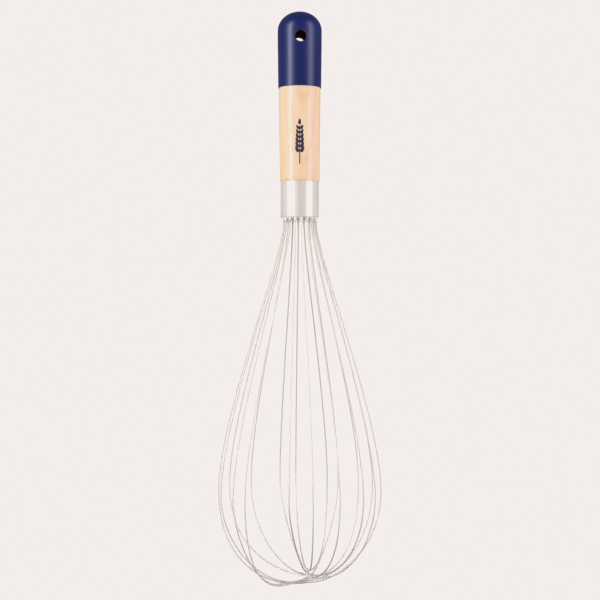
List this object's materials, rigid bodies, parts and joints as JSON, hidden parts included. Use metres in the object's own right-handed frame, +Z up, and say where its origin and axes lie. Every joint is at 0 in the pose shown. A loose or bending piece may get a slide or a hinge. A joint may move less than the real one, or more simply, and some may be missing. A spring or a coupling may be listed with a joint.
{
  "type": "balloon whisk",
  "caption": "Hand balloon whisk: turned wooden handle with a dipped top and hanging hole, steel ferrule, and wire loops that bow out and cross at the bottom.",
  "frame": {"origin": "middle of the hanging hole, on the handle's axis", "axes": "+Z up along the handle towards its domed top, +Y along the hanging hole from front to back, +X to the right seen from the front"},
  "size_m": [0.0877, 0.0878, 0.3072],
  "materials": {
    "beech": "pale clear-lacquered beech with fine lengthwise grain",
    "navy_dip": "satin dark blue dipped coating",
    "ferrule_steel": "lengthwise polished stainless tube, satin",
    "wire_steel": "bright drawn stainless wire",
    "resin": "clear amber casting resin",
    "core_nylon": "natural moulded nylon",
    "plug_seal": "pale grey moulded seal"
  },
  "bodies": {
    "root": {"handle": "beech", "dip_coating": "navy_dip", "ferrule": "ferrule_steel", "resin_fill": "resin", "wire_core": "core_nylon", "end_plug": "plug_seal", "wire_loop_1": "wire_steel", "wire_loop_2": "wire_steel", "wire_loop_3": "wire_steel", "wire_loop_4": "wire_steel", "wire_loop_5": "wire_steel", "wire_loop_6": "wire_steel", "wire_loop_7": "wire_steel", "wire_loop_8": "wire_steel", "wire_loop_9": "wire_steel"}
  },
  "joints": []
}
